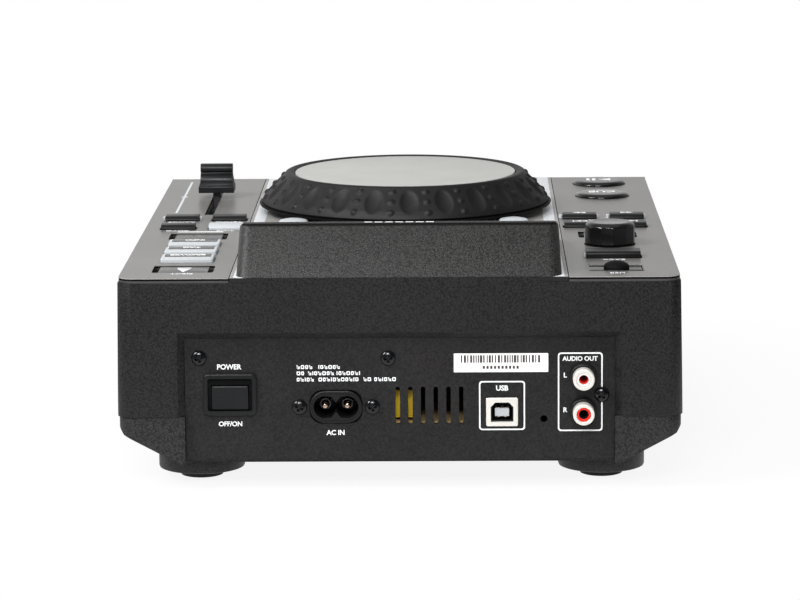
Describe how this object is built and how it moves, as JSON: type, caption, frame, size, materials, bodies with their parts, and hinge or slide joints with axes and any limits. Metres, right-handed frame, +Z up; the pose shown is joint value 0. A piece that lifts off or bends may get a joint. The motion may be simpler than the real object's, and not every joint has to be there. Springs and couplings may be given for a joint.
{
  "type": "tabletop dj disc player",
  "caption": "Tabletop DJ disc player with slot loading, jog wheel, pitch fader, display hood, lit list keys and rear sockets.",
  "frame": {"origin": "on the table, under the middle of the player's width and depth", "axes": "+X to the user's right, +Y to the rear sockets, +Z up"},
  "size_m": [0.2192, 0.301, 0.1025],
  "materials": {
    "black_shell": "leather-grained black plastic",
    "deck_satin": "fine satin charcoal paint",
    "stripe_white": "satin white plastic strip",
    "hood_black": "fine-grained black plastic",
    "window": "polished dark acrylic",
    "panel_black": "black powder coat",
    "screw_black": "black zinc",
    "foot_rubber": "moulded rubber",
    "socket_black": "moulded black plastic",
    "switch_black": "smooth black plastic",
    "plated_steel": "bright plated steel",
    "nickel": "nickel plate",
    "board_green": "solder mask",
    "board_tan": "phenolic board",
    "winding_tape": "yellow insulating tape over ferrite",
    "drive_steel": "zinc-plated sheet steel",
    "motor_can": "satin aluminium",
    "drive_plastic": "glass-filled black plastic",
    "sled_plastic": "dark grey plastic",
    "shaft_steel": "ground steel",
    "roller_rubber": "soft rubber",
    "jog_silver": "satin light grey metallic paint",
    "jog_rubber": "satin dark grey rubber",
    "jog_black": "black plastic",
    "knob_dark": "dark satin plastic",
    "gloss_black": "glossy black plastic",
    "key_dark": "glossy black plastic",
    "key_lit": "translucent white plastic"
  },
  "bodies": {
    "casing": {"lower_shell": "black_shell", "upper_shell": "black_shell", "left_deck_plate": "deck_satin", "right_deck_plate": "deck_satin", "center_insert": "deck_satin", "display_hood": "hood_black", "display_lens": "window", "lcd_panel": "socket_black", "rear_panel": "panel_black", "panel_screws": "screw_black", "bottom_screws": "screw_black", "feet": "black_shell", "rubber_pads": "foot_rubber", "ac_inlet": "socket_black", "switch_housing": "socket_black", "usb_b_socket": "plated_steel", "rca_block": "socket_black", "rca_sleeves": "nickel", "main_board": "board_green", "power_board": "board_tan", "transformer": "winding_tape", "control_boards": "board_green", "top_usb_port": "plated_steel", "drive_chassis": "drive_steel", "drive_motors": "motor_can", "jog_axle": "shaft_steel", "fader_body": "plated_steel", "select_encoder": "plated_steel"},
    "jog_wheel": {"jog_base": "jog_black", "jog_ring": "jog_rubber", "jog_plate": "jog_silver"},
    "pitch_fader": {"fader_lever": "drive_plastic", "fader_knob": "knob_dark"},
    "select_plunger": {"select_shaft": "shaft_steel"},
    "select_dial": {"select_knob": "gloss_black"},
    "power_push": {"power_button": "switch_black"},
    "usb_flap": {"usb_cover": "socket_black"},
    "disc_turntable": {"turntable": "drive_plastic"},
    "disc_roller": {"loading_roller": "roller_rubber"},
    "sled": {"pickup_sled": "sled_plastic"},
    "sled_screw": {"lead_screw": "shaft_steel"},
    "play_button_body": {"play_button": "gloss_black"},
    "cue_button_body": {"cue_button": "gloss_black"},
    "search_back_key_body": {"search_back_key": "key_dark"},
    "search_forward_key_body": {"search_forward_key": "key_dark"},
    "track_back_key_body": {"track_back_key": "key_dark"},
    "track_forward_key_body": {"track_forward_key": "key_dark"},
    "tempo_range_key_body": {"tempo_range_key": "key_dark"},
    "master_tempo_key_body": {"master_tempo_key": "key_dark"},
    "time_mode_key_body": {"time_mode_key": "key_lit"},
    "auto_cue_key_body": {"auto_cue_key": "key_dark"},
    "back_key_body": {"back_key": "key_dark"},
    "memory_key_body": {"memory_key": "key_dark"},
    "menu_key_body": {"menu_key": "key_dark"},
    "eject_key_body": {"eject_key": "key_dark"},
    "browse_key_body": {"browse_key": "key_lit"},
    "tag_list_key_body": {"tag_list_key": "key_lit"},
    "info_key_body": {"info_key": "key_lit"},
    "loop_in_button_body": {"loop_in_button": "key_lit"},
    "loop_out_button_body": {"loop_out_button": "key_lit"}
  },
  "joints": [
    {"name": "jog_spin", "type": "hinge", "parent": "casing", "child": "jog_wheel", "pos_m": [0, -0.0325, 0.09], "axis": [0, 0, 1], "continuous": true},
    {"name": "fader_slide", "type": "slide", "parent": "casing", "child": "pitch_fader", "axis": [0, 1, 0], "range_m": [-0.05, 0.05]},
    {"name": "select_press", "type": "slide", "parent": "casing", "child": "select_plunger", "axis": [0, 0, -1], "range_m": [0, 0.0005], "stiffness_N_per_m": 600, "springref_m": -0.001},
    {"name": "select_turn", "type": "hinge", "parent": "select_plunger", "child": "select_dial", "pos_m": [-0.08435, 0.0665, 0.088], "axis": [0, 0, 1], "continuous": true},
    {"name": "power_press", "type": "slide", "parent": "casing", "child": "power_push", "axis": [0, -1, 0], "range_m": [0, 0.003], "stiffness_N_per_m": 200, "springref_m": -0.001},
    {"name": "usb_flap_hinge", "type": "hinge", "parent": "casing", "child": "usb_flap", "pos_m": [-0.08435, 0.11895, 0.0824], "axis": [1, 0, 0], "range_deg": [0, 95]},
    {"name": "turntable_spin", "type": "hinge", "parent": "casing", "child": "disc_turntable", "pos_m": [0, -0.0785, 0.036], "axis": [0, 0, 1], "continuous": true},
    {"name": "roller_spin", "type": "hinge", "parent": "casing", "child": "disc_roller", "pos_m": [0, -0.1355, 0.0345], "axis": [1, 0, 0], "continuous": true},
    {"name": "sled_slide", "type": "slide", "parent": "casing", "child": "sled", "axis": [0, 1, 0], "range_m": [0, 0.034]},
    {"name": "screw_spin", "type": "hinge", "parent": "casing", "child": "sled_screw", "pos_m": [0.026, -0.0305, 0.0311], "axis": [0, 1, 0], "range_deg": [0, 4081]},
    {"name": "play_press", "type": "slide", "parent": "casing", "child": "play_button_body", "axis": [0, 0, -1], "range_m": [0, 0.001], "stiffness_N_per_m": 300, "springref_m": -0.001},
    {"name": "cue_press", "type": "slide", "parent": "casing", "child": "cue_button_body", "axis": [0, 0, -1], "range_m": [0, 0.001], "stiffness_N_per_m": 300, "springref_m": -0.001},
    {"name": "search_back_press", "type": "slide", "parent": "casing", "child": "search_back_key_body", "axis": [0, 0, -1], "range_m": [0, 0.0008], "stiffness_N_per_m": 300, "springref_m": -0.001},
    {"name": "search_forward_press", "type": "slide", "parent": "casing", "child": "search_forward_key_body", "axis": [0, 0, -1], "range_m": [0, 0.0008], "stiffness_N_per_m": 300, "springref_m": -0.001},
    {"name": "track_back_press", "type": "slide", "parent": "casing", "child": "track_back_key_body", "axis": [0, 0, -1], "range_m": [0, 0.0008], "stiffness_N_per_m": 300, "springref_m": -0.001},
    {"name": "track_forward_press", "type": "slide", "parent": "casing", "child": "track_forward_key_body", "axis": [0, 0, -1], "range_m": [0, 0.0008], "stiffness_N_per_m": 300, "springref_m": -0.001},
    {"name": "tempo_range_press", "type": "slide", "parent": "casing", "child": "tempo_range_key_body", "axis": [0, 0, -1], "range_m": [0, 0.0008], "stiffness_N_per_m": 300, "springref_m": -0.001},
    {"name": "master_tempo_press", "type": "slide", "parent": "casing", "child": "master_tempo_key_body", "axis": [0, 0, -1], "range_m": [0, 0.0008], "stiffness_N_per_m": 300, "springref_m": -0.001},
    {"name": "time_mode_press", "type": "slide", "parent": "casing", "child": "time_mode_key_body", "axis": [0, 0, -1], "range_m": [0, 0.0008], "stiffness_N_per_m": 300, "springref_m": -0.001},
    {"name": "auto_cue_press", "type": "slide", "parent": "casing", "child": "auto_cue_key_body", "axis": [0, 0, -1], "range_m": [0, 0.0008], "stiffness_N_per_m": 300, "springref_m": -0.001},
    {"name": "back_press", "type": "slide", "parent": "casing", "child": "back_key_body", "axis": [0, 0, -1], "range_m": [0, 0.0008], "stiffness_N_per_m": 300, "springref_m": -0.001},
    {"name": "memory_press", "type": "slide", "parent": "casing", "child": "memory_key_body", "axis": [0, 0, -1], "range_m": [0, 0.0008], "stiffness_N_per_m": 300, "springref_m": -0.001},
    {"name": "menu_press", "type": "slide", "parent": "casing", "child": "menu_key_body", "axis": [0, 0, -1], "range_m": [0, 0.0008], "stiffness_N_per_m": 300, "springref_m": -0.001},
    {"name": "eject_press", "type": "slide", "parent": "casing", "child": "eject_key_body", "axis": [0, 0, -1], "range_m": [0, 0.0008], "stiffness_N_per_m": 300, "springref_m": -0.001},
    {"name": "browse_press", "type": "slide", "parent": "casing", "child": "browse_key_body", "axis": [0, 0, -1], "range_m": [0, 0.0008], "stiffness_N_per_m": 300, "springref_m": -0.001},
    {"name": "tag_list_press", "type": "slide", "parent": "casing", "child": "tag_list_key_body", "axis": [0, 0, -1], "range_m": [0, 0.0008], "stiffness_N_per_m": 300, "springref_m": -0.001},
    {"name": "info_press", "type": "slide", "parent": "casing", "child": "info_key_body", "axis": [0, 0, -1], "range_m": [0, 0.0008], "stiffness_N_per_m": 300, "springref_m": -0.001},
    {"name": "loop_in_press", "type": "slide", "parent": "casing", "child": "loop_in_button_body", "axis": [0, 0, -1], "range_m": [0, 0.0008], "stiffness_N_per_m": 300, "springref_m": -0.001},
    {"name": "loop_out_press", "type": "slide", "parent": "casing", "child": "loop_out_button_body", "axis": [0, 0, -1], "range_m": [0, 0.0008], "stiffness_N_per_m": 300, "springref_m": -0.001}
  ],
  "couplings": [
    {"joint": "screw_spin", "follows": "sled_slide", "rad_per_m": 2094.4}
  ]
}
